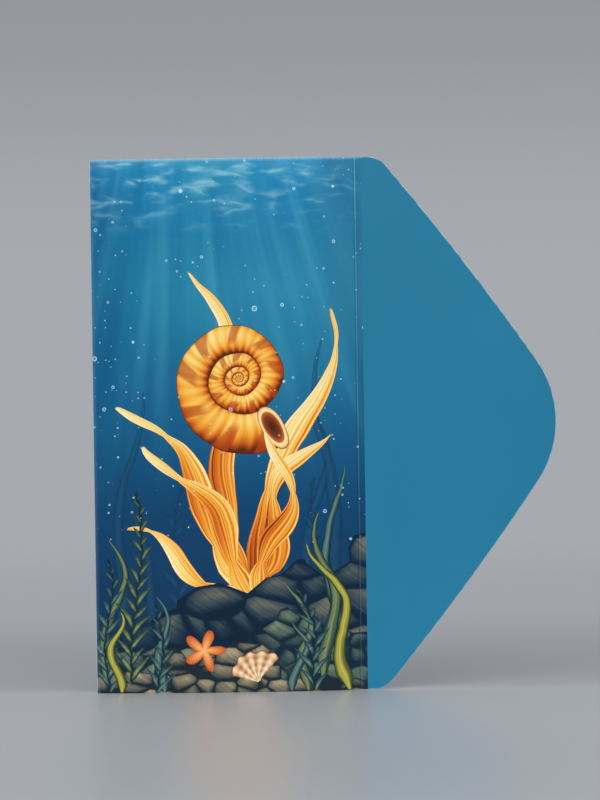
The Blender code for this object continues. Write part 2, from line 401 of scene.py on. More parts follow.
def fold_end(base, rise):
    """The fold and the tab of the short edge at height base. rise is +1 where the pocket is above it."""
    line = base + rise * END_FOLD_RADIUS
    pick(
        lambda corner: abs(corner.z - line) < CLOSE
        and WALL_START - arc(CLOSE) < angle_on_bow(corner) < FRONT_END + arc(CLOSE)
    )
    depth, height = 0, line
    for step in range(1, FOLD_STEPS + 1):
        turn = pi * step / FOLD_STEPS
        new_depth = END_FOLD_RADIUS * (1 - cos(turn))
        new_height = line - rise * END_FOLD_RADIUS * sin(turn)
        extrude((0, 0, new_height - height))
        stretch(bow_axis, (BOW_RADIUS - new_depth) / (BOW_RADIUS - depth), 1)
        depth, height = new_depth, new_height
    free_edge = base + rise * TAB_WIDTH
    extrude((0, 0, free_edge - line))
    inset = arc(TAB_SETBACK + TAB_TAPER)
    for root, edge in (
        (WALL_START + arc(TAB_SETBACK), WALL_START + inset),
        (BACK_END - arc(TAB_SETBACK), BACK_END - inset),
    ):
        pick(
            lambda corner: depth_on_bow(corner) > TAB_DEPTH - CLOSE
            and angle_on_bow(corner) > WALL_START - arc(CLOSE)
            and abs(corner.z - base) < TAB_WIDTH + CLOSE
        )
        snip(root, edge, line, free_edge)


fold_end(POCKET_HEIGHT, -1)
fold_end(0, 1)
print("corners so far", len(bmesh.from_edit_mesh(front_sheet.data).verts))

# %% [markdown]
# ## The sheet map
#
# A print is made while the sheet is flat. So the picture is laid out on a map of the flat sheet, in which
# each corner has its distance along the sheet and its height before folding. The folds are unrolled by
# their arc length. The picture then runs over the folds without a stretch, and it follows the card when the
# flap closes. Only the strip that bends at the crease is drawn out then, as told below under Bodies. Blender
# could unwrap the sheet too, but this way the map has a known scale and a known place.

# %% Lay out the sheet map
SHEET_MAP = "sheet"


def flat_place(place):
    """Where a point of the front sheet lies on the flat sheet: along from the left end of the bow, and up."""
    away = (place - crease).dot(out)
    if away > 0:
        return FRONT_LENGTH + away, place.z
    angle, depth = angle_on_bow(place), depth_on_bow(place)
    if angle < SPINE_ANGLE - arc(CLOSE):
        spoke = place - on_bow(SPINE_ANGLE, SPINE_RADIUS, place.z)
        forward = on_bow(SPINE_ANGLE, 0, place.z) - on_bow(SPINE_ANGLE, SPINE_RADIUS, place.z)
        return SPINE_RADIUS - SPINE_RADIUS * spoke.angle(forward), place.z
    along = BOW_RADIUS * (angle + HALF_BOW)
    if depth > POCKET_DEPTH - CLOSE:
        return SPINE_RADIUS * (2 - pi) - along, place.z
    from_end = min(place.z, POCKET_HEIGHT - place.z)
    if depth < CREASE_SINK + CLOSE and from_end > END_FOLD_RADIUS - CLOSE:
        return along, place.z
    if from_end > END_FOLD_RADIUS:
        past_end = END_FOLD_RADIUS * pi + from_end - END_FOLD_RADIUS
    else:
        past_end = END_FOLD_RADIUS * atan2(END_FOLD_RADIUS - from_end, END_FOLD_RADIUS - depth)
    if place.z > MIDDLE_HEIGHT:
        return along, POCKET_HEIGHT - END_FOLD_RADIUS + past_end
    return along, END_FOLD_RADIUS - past_end


def lay_out(piece, where):
    """Gives a piece the sheet map, in which 1 is the pocket's height."""
    shape = bmesh.new()
    shape.from_mesh(piece.data)
    layer = shape.loops.layers.uv.new(SHEET_MAP)
    for face in shape.faces:
        for loop in face.loops:
            along, height = where(loop.vert.co)
            loop[layer].uv = (along / POCKET_HEIGHT, height / POCKET_HEIGHT)
    shape.to_mesh(piece.data)
    shape.free()


bpy.ops.object.mode_set(mode="OBJECT")
lay_out(front_sheet, flat_place)
along = [corner.uv.x for corner in front_sheet.data.uv_layers[SHEET_MAP].data]
print("map runs along", round(min(along), 3), "to", round(max(along), 3))

# %% [markdown]
# ## The card's thickness
#
# Up to here the sheet is its printed face alone. Solidify gives it the card's thickness behind that face,
# with one material for the print, one for the bare inner side and one for the cut edge. The faces have to
# look outwards first, and one face of the front tells whether they do.

# %% Give the sheet its thickness
SMOOTH_BELOW = radians(35)


def give_thickness(piece, face_at, outwards):
    """Turns the faces outwards, judged by the one nearest to a point, and adds the card behind them."""
    bpy.ops.object.select_all(action="DESELECT")
    piece.select_set(True)
    bpy.context.view_layer.objects.active = piece
    bpy.ops.object.mode_set(mode="EDIT")
    bpy.ops.mesh.select_all(action="SELECT")
    bpy.ops.mesh.normals_make_consistent(inside=False)
    bpy.ops.object.mode_set(mode="OBJECT")
    nearest = min(piece.data.polygons, key=lambda face: (face.center - face_at).length)
    if nearest.normal.dot(outwards) < 0:
        piece.data.flip_normals()
    wall = piece.modifiers.new("card", "SOLIDIFY")
    wall.thickness = CARD
    wall.offset = -1
    wall.use_even_offset = True
    wall.material_offset = 1
    wall.material_offset_rim = 2
    for finish in ("printed", "bare_card", "cut_edge"):
        piece.data.materials.append(bpy.data.materials.get(finish) or bpy.data.materials.new(finish))
    bpy.ops.object.modifier_apply(modifier=wall.name)
    bpy.ops.object.shade_smooth_by_angle(angle=SMOOTH_BELOW)


give_thickness(front_sheet, on_bow(0, 0, MIDDLE_HEIGHT), Vector((0, -1, 0)))
print("front sheet faces", len(front_sheet.data.polygons))

# %% [markdown]
# ## The back sheet
#
# The back goes on where the left fold ends, and stops just short of the crease, which leaves the mouth
# open. The pocket was stuffed once, so the back stands off in the middle of the mouth and comes in to the
# glue at both ends. An edge with many rows is spun about the bow's axis, and each corner is then moved in
# by the spring at its place, which no single operator could do.

# %% Spin the back and spring its mouth
MOUTH_SPRING = 6 * MM
BACK_ROWS = 60
BACK_STEPS = 48


def mouth_spring(angle, height):
    """How far the back stands off: not at the left fold or over the glue, and most at mid mouth."""
    across = (angle - WALL_START) / (BACK_END - WALL_START)
    off_middle = (height - MIDDLE_HEIGHT) / (MIDDLE_HEIGHT - TAB_WIDTH)
    return MOUTH_SPRING * max(0, across) * max(0, 1 - off_middle**2) ** 2


back_start = SPINE_ANGLE + arc(BACK_LAP)
back_sheet = start_at("back_sheet", on_bow(back_start, POCKET_DEPTH, 0))
extrude(UPRIGHT * POCKET_HEIGHT)
bpy.ops.mesh.select_all(action="SELECT")
bpy.ops.mesh.subdivide(number_cuts=BACK_ROWS - 1)
bpy.ops.mesh.select_all(action="SELECT")
swing(bow_axis, UPRIGHT, BACK_END - back_start, BACK_STEPS)
bpy.ops.object.mode_set(mode="OBJECT")
for corner in back_sheet.data.vertices:
    angle = angle_on_bow(corner.co)
    corner.co = on_bow(angle, POCKET_DEPTH + mouth_spring(angle, corner.co.z), corner.co.z)
lay_out(back_sheet, lambda place: (-BOW_RADIUS * (angle_on_bow(place) + HALF_BOW), place.z))
give_thickness(back_sheet, on_bow(0, POCKET_DEPTH, MIDDLE_HEIGHT), Vector((0, 1, 0)))
print("back sheet faces", len(back_sheet.data.polygons))

# %% [markdown]
# ## Nodes written as sums
#
# The print is a drawing in which each shape is a small sum over the flat sheet's two coordinates. It could
# be built by dragging Math nodes in the editor, but there would be hundreds. Here a Field stands for what a
# node gives out, and a sum of fields adds the Math node that does it. So a leaf or a stone reads as a short
# formula.

# %% Let sums make Math nodes
import inspect
from functools import partial


class Field:
    """A number or a colour that the nodes work out at each point of a surface."""

    def __init__(self, socket):
        self.socket = socket

    def __abs__(self):
        return calc("ABSOLUTE", self)


OPERATIONS = {"add": "ADD", "sub": "SUBTRACT", "mul": "MULTIPLY", "truediv": "DIVIDE", "pow": "POWER"}
for sign, operation in OPERATIONS.items():
    setattr(Field, f"__{sign}__", lambda field, other, kind=operation: calc(kind, field, other))
    setattr(Field, f"__r{sign}__", lambda field, other, kind=operation: calc(kind, other, field))


def feed(value, socket):
    """Links a field to a socket, or sets a plain number or colour on it."""
    if isinstance(value, Field):
        tree.links.new(value.socket, socket)
    else:
        socket.default_value = value


def add_node(kind, inputs=(), **settings):
    """Adds a node. Inputs pairs its sockets' names or places with what they get."""
    node = tree.nodes.new(kind)
    for name, value in settings.items():
        setattr(node, name, value)
    for place, value in dict(inputs).items():
        feed(value, node.inputs[place])
    return node


def calc(operation, *values):
    return Field(add_node("ShaderNodeMath", enumerate(values), operation=operation).outputs["Value"])


sine, cosine, fraction, whole = (partial(calc, name) for name in ("SINE", "COSINE", "FRACT", "FLOOR"))
larger, smaller, arctan = (partial(calc, name) for name in ("MAXIMUM", "MINIMUM", "ARCTAN2"))


def ease(value, low, high):
    """A soft step from 0 at low to 1 at high."""
    node = add_node("ShaderNodeMapRange", enumerate((value, low, high)), interpolation_type="SMOOTHSTEP")
    return Field(node.outputs["Result"])


def paint(under, over, share):
    """Lays one colour over another where share is 1."""
    node = add_node("ShaderNodeMix", {0: share, 6: under, 7: over}, data_type="RGBA")
    return Field(next(socket for socket in node.outputs if socket.type == "RGBA"))


def ramp(value, *stops):
    """A run of colours along a value. Each stop has its place from 0 to 1 and the three levels of its ink."""
    node = add_node("ShaderNodeValToRGB", {"Fac": value})
    run = node.color_ramp.elements
    while len(run) < len(stops):
        run.new(0.5)
    for element, (place, *levels) in zip(run, stops):
        element.position = place
        element.color = ink(*levels)
    return Field(node.outputs["Color"])


def point(across, upward):
    return Field(add_node("ShaderNodeCombineXYZ", {"X": across, "Y": upward}).outputs["Vector"])


def parts(vector):
    node = add_node("ShaderNodeSeparateXYZ", {"Vector": vector})
    return Field(node.outputs["X"]), Field(node.outputs["Y"])


def noise(place, size, detail=2, dimensions="3D", entry="Vector"):
    """Cloudy variation from about -0.5 to 0.5, with clouds of that size."""
    inputs = {entry: place, "Scale": 1 / size, "Detail": detail}
    return Field(add_node("ShaderNodeTexNoise", inputs, noise_dimensions=dimensions).outputs["Fac"]) - 0.5


def stripes(place, detail=2):
    """The same kind of variation along a single number, so that it makes stripes."""
    return noise(place, 1, detail, "1D", "W")


def cells(place, size, feature="F1"):
    """A pattern of cells of about that size: distance to a middle or an edge, random colour and middle."""
    return add_node("ShaderNodeTexVoronoi", {"Vector": place, "Scale": 1 / size}, feature=feature).outputs


def ink(red, green, blue):
    """An ink's colour on a 0 to 255 scale, as the light that it returns."""
    shares = (level / 255 for level in (red, green, blue))
    return tuple((s / 12.92 if s <= 0.04045 else ((s + 0.055) / 1.055) ** 2.4) for s in shares) + (1,)


def inks(*colours):
    return [ink(*levels) for levels in colours]


print("an ink of 41, 120, 155 returns", tuple(round(share, 3) for share in ink(41, 120, 155)[:3]))

# %% [markdown]
# ## Drawings that are used again
#
# A leaf is drawn many times with other sizes. Copying its nodes each time would be slow and hard to change,
# so each kind of drawing becomes a node group, which is built once and gets its sizes through its sockets.
# The helper below makes a group out of a Python function: each argument becomes a socket.

# %% Turn a drawing into a node group
COLOURS = ("under", "outline", "shade", "body", "light")


def drawn_once(draw):
    """Builds a drawing function as a node group, and returns a function that places that group."""
    global tree
    arguments = inspect.signature(draw)
    drawing = tree = bpy.data.node_groups.new(draw.__name__, "ShaderNodeTree")
    for name in arguments.parameters:
        kind = "NodeSocketColor" if name in COLOURS else "NodeSocketFloat"
        tree.interface.new_socket(name, in_out="INPUT", socket_type=kind)
    entry = add_node("NodeGroupInput")
    result = draw(*(Field(entry.outputs[name]) for name in arguments.parameters))
    tree.interface.new_socket("art", in_out="OUTPUT", socket_type="NodeSocketColor")
    feed(result, add_node("NodeGroupOutput").inputs["art"])
    print("drawing", draw.__name__, "has", len(tree.nodes), "nodes")

    def place_drawing(*values, **named):
        given = arguments.bind(*values, **named)
        given.apply_defaults()
        return Field(add_node("ShaderNodeGroup", given.arguments, node_tree=drawing).outputs["art"])

    return place_drawing


# %% [markdown]
# ## Leaves
#
# Every ribbon of weed is the same drawing: a middle line that sways more towards its tip, and a width that
# tapers. Dividing the distance from the middle line by half the width gives -1 and 1 at the two edges, and
# a run of tones across that makes the dark outline, the light side, the midrib and the shaded side at once.
# A tilt turns the whole leaf about its foot.

# %% Draw a leaf


def swaying(x, y, foot_x, foot_y, tilt, height, lean, sway, waves):
    """How far up a leaf a point lies, its distance from the middle line, and the line's slope."""
    dx = x - foot_x
    dy = y - foot_y
    across = dx * cosine(tilt) + dy * sine(tilt)
    along = (dy * cosine(tilt) - dx * sine(tilt)) / height
    bend = along * waves * (2 * pi) + foot_x
    middle = along * (sine(bend) * sway + lean)
    rate = (cosine(bend) * along * waves * (2 * pi) + sine(bend)) * sway / height + lean / height
    return along, across - middle, (rate * rate + 1) ** 0.5


def tint(tone, outline, shade, body, light):
    """Four inks along a tone from 0 to 1."""
    colours = paint(outline, shade, ease(tone, 0.0, 0.3))
    colours = paint(colours, body, ease(tone, 0.25, 0.6))
    return paint(colours, light, ease(tone, 0.55, 1.0))


@drawn_once
def leaf(under, outline, shade, body, light, x, y, foot_x, foot_y, height, width, lean=0, sway=4, waves=0.8,
         tilt=0, haze=0):
    """A long leaf that grows from its foot. Haze lets the water behind show through it."""
    along, side, stretch_here = swaying(x, y, foot_x, foot_y, tilt, height, lean, sway, waves)
    half = smaller(along * 7 + 0.25, 1) * (1 - along) ** 0.6 * stretch_here * width * 0.5
    across = side / larger(half, 0.01)
    inside = ease(abs(across), 1, 0.88) * ease(along, 0, 0.015) * ease(along, 0.995, 0.98)
    streaks = stripes(across * 2.5 + along * height * 0.05 + foot_x)
    place = across * 0.5 + 0.5 + streaks * 0.22
    tone = smaller(ease(place, 0.03, 0.4), ease(place, 0.98, 0.56) * 0.72) + ease(abs(across), 0.12, 0) * 0.2
    return paint(under, tint(tone, outline, shade, body, light), inside * (1 - haze))


@drawn_once
def frond(under, outline, shade, body, light, x, y, foot_x, foot_y, height, reach, lean=0, sway=3, spacing=5,
          haze=0):
    """A stem with slanting leaflets on both sides."""
    rough = (y - foot_y) / height
    middle = rough * (sine(rough * 5 + foot_x) * sway + lean) + foot_x
    side = x - middle
    far = abs(side)
    root = y - far * (1.35 - far * 0.04)
    left = 1 - (root - foot_y) / height
    step = root / spacing + ease(side, -0.1, 0.1) * 0.5
    across = fraction(step) - 0.5
    uneven = sine(whole(step) * 2.4 + ease(side, -0.1, 0.1) + foot_x) * 0.2 + 0.9
    thick = (1 - far / (left ** 0.6 * uneven * reach + 0.01)) * ease(far, -1, 1.5) * 0.44
    edge = thick - abs(across)
    leaflet = ease(edge, 0, 0.06)
    stem = ease(far, 0.6, 0.3) * ease(y, foot_y, foot_y + 0.5)
    inside = larger(leaflet, stem) * ease(root, foot_y - 1, foot_y) * ease(left, 0, 0.03)
    tone = edge * 2.8 + across * 0.7 + stripes(y + far * 0.5) * 0.4
    return paint(under, tint(tone, outline, shade, body, light), inside * (1 - haze))


# %% [markdown]
# ## Golden ribbons
#
# The golden weed is a broad ribbon that twists as it rises. Its width follows the cosine of its turn, and
# the sign of the cosine says which face shows. Fine streaks run along it: they come from a noise that is
# stretched along the ribbon, so they bend as it bends.

# %% Draw a golden ribbon


@drawn_once
def ribbon(under, x, y, foot_x, foot_y, height, width, lean=0, sway=8, waves=1, twist=6, start=0, tilt=0,
           glow=0):
    """A twisting ribbon. Start is where in its turn it begins, and glow lightens it."""
    along, side, stretch_here = swaying(x, y, foot_x, foot_y, tilt, height, lean, sway, waves)
    turn = cosine(along * twist + start)
    half = smaller(along * 5 + 0.3, 1) * (1 - along) ** 0.55 * stretch_here * width * 0.5
    half = half * (abs(turn) * 0.72 + 0.28)
    across = side / larger(half, 0.01)
    inside = ease(abs(across), 1, 0.93) * ease(along, 0, 0.015) * ease(along, 0.995, 0.985)
    streaks = stripes(across * 5 + along * height * 0.04 + foot_x, 3)
    rounding = 1 - across * across
    tone = across * turn * -0.22 + streaks * 1.1 + rounding * 0.22 + turn * 0.14 + along * 0.3 + glow + 0.17
    tone = tone + ease(abs(across), 0.72, 0.86) * 0.3
    tone = tone * ease(abs(across), 1.0, 0.9)
    colours = ramp(
        tone, (0.0, 118, 46, 16), (0.16, 184, 78, 20), (0.34, 226, 124, 30),
        (0.52, 246, 172, 60), (0.72, 253, 214, 116), (0.95, 255, 240, 190),
    )
    return paint(under, colours, inside)


# %% [markdown]
# ## The shell
#
# The shell is a spiral in which each turn is about twice as wide as the one inside it. So the logarithm of
# the distance from its centre, less the share of a turn already made, counts the turns: the whole part says
# which turn a point is on, and the rest says how far across that turn it lies. Ribs and flames follow those
# two numbers, as they do on a real shell, which grows them at its lip.

# %% Draw the shell


@drawn_once
def shell(under, x, y, middle_x, middle_y, size):
    dx = x - middle_x
    dy = y - middle_y
    growth, lip, ribs, flames = 2.1, radians(-58), 30, 9
    away = (dx * dx + dy * dy) ** 0.5
    made = fraction((arctan(dy, dx) - lip) / (2 * pi)) - 1
    turns = calc("LOGARITHM", larger(away, 0.3) / size, growth) - made
    over = fraction(turns)
    wound = made + whole(turns)
    bulge = over * 2 - 1
    facing = (dy * 0.8 - dx * 0.6) / (away + 0.01)
    rib = sine(wound * (2 * pi * ribs) + over * over * 2.5)
    grain = stripes(wound * 60 + over * 2, 3)
    lit = larger(1 - bulge * bulge, 0) ** 0.5 * 0.55 + bulge * facing * 0.42 + rib * 0.07 + grain * 0.2
    colours = ramp(
        lit, (0.0, 96, 36, 12), (0.16, 164, 70, 18), (0.34, 222, 122, 32), (0.54, 248, 180, 66),
        (0.74, 255, 220, 128), (0.95, 255, 245, 206),
    )
    flame = sine(wound * (2 * pi * flames) + over * 3.4 + sine(wound * 40) * 0.5)
    flame = ease(flame, 0.25, 0.7) * ease(over, 0.3, 0.62)
    colours = paint(colours, ink(178, 66, 18), flame * 0.7)
    colours = paint(colours, ink(74, 28, 12), ease(smaller(over, 1 - over), 0.035, 0.0))
    under = paint(under, colours, ease(turns, 0.005, -0.01))

    outward = (dx * cos(lip) + dy * sin(lip)) / size
    beside = (dy * cos(lip) - dx * sin(lip)) / size
    mouth_out, mouth_up, mouth_length, mouth_width = 0.745, 0.02, 0.3, 0.15
    mouth_x = (outward - mouth_out) / mouth_length
    mouth_y = (beside - mouth_up) / mouth_width
    mouth = (mouth_x * mouth_x + mouth_y * mouth_y) ** 0.5
    colours = ramp(
        mouth, (0.0, 64, 22, 14), (0.5, 128, 54, 22), (0.7, 196, 108, 42), (0.76, 255, 236, 184),
        (0.9, 250, 200, 108), (0.97, 96, 42, 18),
    )
    return paint(under, colours, ease(mouth, 1.0, 0.96))


# %% [markdown]
# ## Stones, a starfish and a scallop
#
# Stones come from a cell pattern: the distance to a cell's edge rounds each stone, and the height of a
# point above its stone's middle lights it from above. A stone is kept or left out whole, by where its
# middle lies, so the heap has an outline of stones and not a straight cut. The starfish and the scallop are
# drawn round a centre: a wave over the bearing gives the arms of one and the ribs of the other.

# %% Draw stones


@drawn_once
def stones(under, outline, shade, body, light, x, y, size, seed, height, slope, haze=0):
    """A heap of flat stones with a bumpy top. Height is its height at the left end, and slope its rise."""
    place = point((x + seed) / size, y * 1.6 / size)
    pattern = cells(place, 1)
    middle_x, middle_y = parts(Field(pattern["Position"]))
    middle_x = middle_x * size - seed
    middle_y = middle_y * size / 1.6
    border = Field(cells(place, 1, "DISTANCE_TO_EDGE")["Distance"])
    border = smaller(border, Field(pattern["Distance"]) * -0.6 + 0.48)
    tone_of_stone = parts(Field(pattern["Color"]))[0]
    top = middle_x * slope + stripes(middle_x / 18 + seed, 2) * 26 + height
    veins = stripes(x * 0.6 + y * 0.9 + border * 2, 3)
    lit = (y - middle_y) * 1.2 / size + ease(border, 0.0, 0.26) * 0.42 + veins * 0.4
    lit = lit + tone_of_stone * 0.24 + 0.06
    tone = lit * ease(border, 0.01, 0.08)
    return paint(under, tint(tone, outline, shade, body, light), ease(top - middle_y, -0.2, 0.2) * (1 - haze))


# %% Draw a starfish and a scallop


def polar(x, y, middle_x, middle_y, tilt):
    """Distance and bearing from a point, the bearing counted from a tilted upright."""
    dx = x - middle_x
    dy = y - middle_y
    return (dx * dx + dy * dy) ** 0.5, arctan(dx, dy) - tilt


@drawn_once
def starfish(under, x, y, middle_x, middle_y, size, tilt):
    away, bearing = polar(x, y, middle_x, middle_y, tilt)
    arm = abs(cosine(bearing * 2.5)) ** 1.6
    share = away / ((arm * 0.64 + 0.36) * size)
    bumps = sine(x * 6 + y * 2) * sine(y * 6 - x * 2)
    lit = (1 - share) * 0.8 + arm * 0.12 + ease(bumps, 0.2, 0.7) * 0.16
    colours = ramp(
        lit, (0.0, 84, 28, 18), (0.1, 176, 72, 34), (0.32, 216, 112, 54), (0.8, 246, 180, 108),
    )
    return paint(under, colours, ease(share, 1, 0.94))


@drawn_once
def scallop(under, x, y, middle_x, middle_y, size, tilt):
    away, bearing = polar(x, y, middle_x, middle_y, tilt)
    ribs = cosine(bearing * 16)
    share = away / ((ribs * 0.03 + 0.97) * size)
    lit = ribs * 0.22 + 0.46 + sine(share * 30) * 0.1 + (1 - share) * 0.2
    colours = ramp(
        lit, (0.0, 116, 72, 50), (0.3, 186, 132, 92), (0.6, 226, 190, 146), (0.9, 246, 226, 192),
    )
    colours = paint(colours, ink(84, 46, 30), ease(share, 0.93, 0.985))
    return paint(under, colours, ease(share, 1, 0.97) * ease(abs(bearing), 1.0, 0.94) * ease(away, 0.3, 0.6))


# %% [markdown]
# ## Bubbles
#
# Bubbles are the round middles of another cell pattern. The cell's own random colour decides how large each
# one is, and whether it is there at all. A bright ring with a faint fill makes it a bubble.

# %% Draw bubbles
PICTURE_MIDDLE = 41


@drawn_once
def bubbles(under, x, y, size, seed, thinning):
    place = point((x + seed) / size, (y + seed) / size)
    pattern = cells(place, 1)
    chance, scale = parts(Field(pattern["Color"]))
    drift = stripes(x / 14 + y / 60 + seed)
    share = Field(pattern["Distance"]) / (scale * 0.11 + 0.055)
    stream = ease(abs(x - PICTURE_MIDDLE), 20, 34) * ease(y, 152, 132) * ease(y, 70, 92) * 0.22
    there = ease(chance + drift * 1.4 + stream - ease(y, 54, 26), thinning, thinning + 0.04)
    under = paint(under, ink(132, 198, 214), ease(share, 1.0, 0.85) * there * 0.3)
    ring = ease(share, 0.5, 0.85) * ease(share, 1.08, 0.9)
    return paint(under, ink(206, 234, 240), ring * there * 0.75)


# %% [markdown]
# ## The water
#
# A print goes from back to front, so each layer is painted over the last one. The water is a run of blues
# from the bright surface to the dark bed. Light falls in as a fan of soft shafts from one point above the
# sheet: the angle seen from that point feeds a noise, which makes stripes that widen as they go down. At
# the surface a stretched cell pattern, broken up by clouds, gives the streaks of light that ripples draw.

# %% Open a material and draw the water


def open_tree(name):
    """Makes a material, and returns its shader with the nodes ready to be filled."""
    global tree
    material = bpy.data.materials.get(name) or bpy.data.materials.new(name)
    material.use_nodes = True
    tree = material.node_tree
    tree.nodes.clear()
    shader = add_node("ShaderNodeBsdfPrincipled")
    tree.links.new(shader.outputs["BSDF"], add_node("ShaderNodeOutputMaterial").inputs["Surface"])
    return shader


def sheet_place():
    """Distance along the flat sheet from the pocket's left end, and height on it, in millimetres."""
    along, height = parts(Field(add_node("ShaderNodeUVMap", uv_map=SHEET_MAP).outputs["UV"]))
    sheet_mm = POCKET_HEIGHT / MM
    return along * sheet_mm, height * sheet_mm


@drawn_once
def sea(x, y):
    """Water from the surface down, with shafts of light and ripples."""
    flat_point = point(x, y)
    clouds = noise(flat_point, 34)
    drift = noise(flat_point, 8)
    art = ramp(
        (y + clouds * 18) / (POCKET_HEIGHT / MM),
        (0.0, 14, 44, 66), (0.1, 14, 52, 80), (0.22, 12, 58, 96), (0.34, 8, 66, 106),
        (0.45, 10, 82, 124), (0.56, 14, 96, 136), (0.66, 20, 112, 148), (0.76, 26, 124, 158),
        (0.86, 18, 118, 160), (0.94, 24, 126, 172), (1.0, 44, 144, 190),
    )
    patches = noise(point(x, y * 0.5), 26)
    art = paint(art, ink(50, 148, 172), ease(patches, -0.02, 0.28) * ease(y, 60, 120) * 0.45)
    slant = arctan(x - 30, 262 - y)
    shafts = noise(point(slant * 18, y * 0.006), 1, 2)
    fading = ease(y + clouds * 40, 50, 140)
    art = paint(art, ink(96, 188, 208), ease(shafts, -0.02, 0.28) * fading * 0.34)
    art = paint(art, ink(2, 62, 110), ease(shafts, -0.02, -0.26) * fading * 0.5)
    art = paint(art, ink(4, 74, 126), ease(x + clouds * 10, 18, 0) * ease(y, 70, 110) * 0.5)
    right_middle = ease(abs(x - 58), 40, 6)
    art = paint(art, ink(76, 176, 206), right_middle * ease(y, 56, 110) * ease(y, 165, 120) * 0.14)
    ripple = point(x * 0.6 + stripes(y / 12) * 8, y * 2.1 + stripes(x / 11) * 9)
    edge = Field(cells(ripple, 8, "DISTANCE_TO_EDGE")["Distance"])
    broken = ease(noise(point(x * 0.7, y * 1.6), 7), -0.06, 0.16)
    near_surface = ease(y + drift * 10, 138, 164)
    art = paint(art, ink(130, 208, 222), ease(edge, 0.36, 0.0) * broken * near_surface * 0.36)
    art = paint(art, ink(186, 230, 236), ease(edge, 0.13, 0.0) * broken * near_surface * 0.34)
    art = paint(art, ink(120, 196, 220), ease(y + drift * 12, 160, 172) * ease(x, 86, 64) * 0.4)
    return paint(art, ink(42, 118, 153), ease(x + clouds * 8, 64, 80) * ease(y + clouds * 10, 92, 122) * 0.75)


# %% [markdown]
# ## The whole picture
#
# Now the drawings are laid over each other: far plants in the water's own blues, golden ribbons behind and
# in front of the shell, a bed of stones that gets darker and sharper towards the viewer, and weeds at both
# sides. A slow noise shifts every point by up to a millimetre first, so that no line looks ruled.

# %% Lay the far plants and the golden middle


def lay(art, draw, colours, place, rows, **shared):
    """Draws plants over each other. A row is a foot's x and y, a height and a width, then the other sizes."""
    for row in rows:
        art = draw(art, *colours, *place, *row, **shared)
    return art


shader = open_tree("printed")
x, y = sheet_place()
flat_point = point(x, y)
art_x = x + noise(flat_point, 15, 1) * 2.4
art_y = y + noise(point(y, x), 15, 1) * 2.4
art = sea(x, y)

FAR_WEED = inks((12, 52, 84), (14, 58, 92), (20, 70, 104), (30, 84, 116))
art_place = (art_x, art_y)
art = lay(
    art, leaf, FAR_WEED, art_place,
    ((8, 18, 76, 5, 4, 5), (18, 14, 60, 4, -5, 4), (66, 26, 64, 5, 5, 5), (75, 30, 80, 5.5, -4, 4)),
    waves=1.1, haze=0.45,
)
art = lay(
    art, frond, FAR_WEED, art_place, ((27, 12, 54, 9), (58, 18, 56, 9), (70, 22, 44, 8)), spacing=6, haze=0.4,
)
art = lay(
    art, ribbon, (), art_place,
    (
        (47, 30, 102, 11, 4, 9, 1.1, 7, 0.4, 0.16, 0.0),
        (50, 30, 92, 12, 4, -9, 1.0, 6, 2.6, -0.20, 0.05),
        (48, 31, 70, 12, -2, 8, 1.0, 6, 0.0, 0.50, 0.08),
        (51, 31, 54, 11, -6, 8, 1.1, 7, 1.0, -0.42, 0.0),
    ),
)
art = shell(art, *art_place, middle_x=46, middle_y=97, size=25)
art = lay(
    art, ribbon, (), art_place,
    (
        (49, 28, 58, 12, -3, 8, 1.0, 6, 0.2, 0.42, 0.06),
        (51, 28, 52, 10, 0, -8, 1.1, 7, 0.0, -0.20, 0.0),
        (47, 27, 44, 9, -5, 6, 1.0, 6, 2.8, 0.90, 0.04),
    ),
)

# %% Lay the sea bed
FAR_ROCK = inks((10, 34, 56), (26, 50, 68), (60, 74, 80), (116, 114, 98))
MOSSY_STONE = inks((16, 40, 54), (44, 68, 74), (80, 98, 90), (132, 140, 112))
GREY_STONE = inks((26, 40, 50), (68, 74, 72), (116, 110, 92), (170, 156, 122))
art = stones(art, *FAR_ROCK, x, y, size=13, seed=3, height=16, slope=0.34)
art = stones(art, *MOSSY_STONE, x, y, size=9, seed=31, height=11, slope=0.14)
art = stones(art, *GREY_STONE, x, y, size=7, seed=67, height=11, slope=-0.03)

# %% Plant the weeds in front
OLIVE = inks((20, 42, 46), (48, 72, 60), (84, 104, 74), (138, 150, 102))
LIME = inks((36, 50, 36), (90, 98, 44), (148, 144, 54), (204, 190, 94))
TEAL = inks((14, 42, 56), (34, 70, 80), (64, 98, 98), (114, 142, 128))
front_x = art_x + noise(point(art_y, art_x), 9, 1) * 1.5
front_y = art_y + noise(point(art_x, art_y), 9, 1) * 1.5
front_place = (front_x, front_y)
for colours, row in (
    (TEAL, (77, 6, 64, 5, -4, 5, 1.0)), (OLIVE, (71, 4, 52, 5.5, 3, -6, 1.1)),
    (LIME, (79, 0, 46, 5.5, -7, 6, 1.2)), (OLIVE, (66, 0, 34, 4, -3, 5, 1.2)),
    (OLIVE, (3, 2, 46, 4.5, 4, 5, 1.1)), (TEAL, (22, 0, 30, 4, -3, 4, 1.0)),
    (TEAL, (61, 0, 22, 3.5, 4, 4, 1.0)),
):
    art = lay(art, leaf, colours, front_place, [row])
for colours, row in (
    (OLIVE, (11, 3, 60, 8, 3)), (TEAL, (4, 0, 42, 7, -1)), (TEAL, (19, 0, 28, 6, 3)),
    (TEAL, (68, 0, 32, 7, -3)),
):
    art = lay(art, frond, colours, front_place, [row], spacing=4.6)
art = lay(art, leaf, LIME, front_place, [(8, 0, 25, 4, -3, 4, 1.1)])
art = starfish(art, *front_place, middle_x=34, middle_y=13, size=7, tilt=0.35)
art = scallop(art, *front_place, middle_x=51, middle_y=3, size=10, tilt=-0.3)

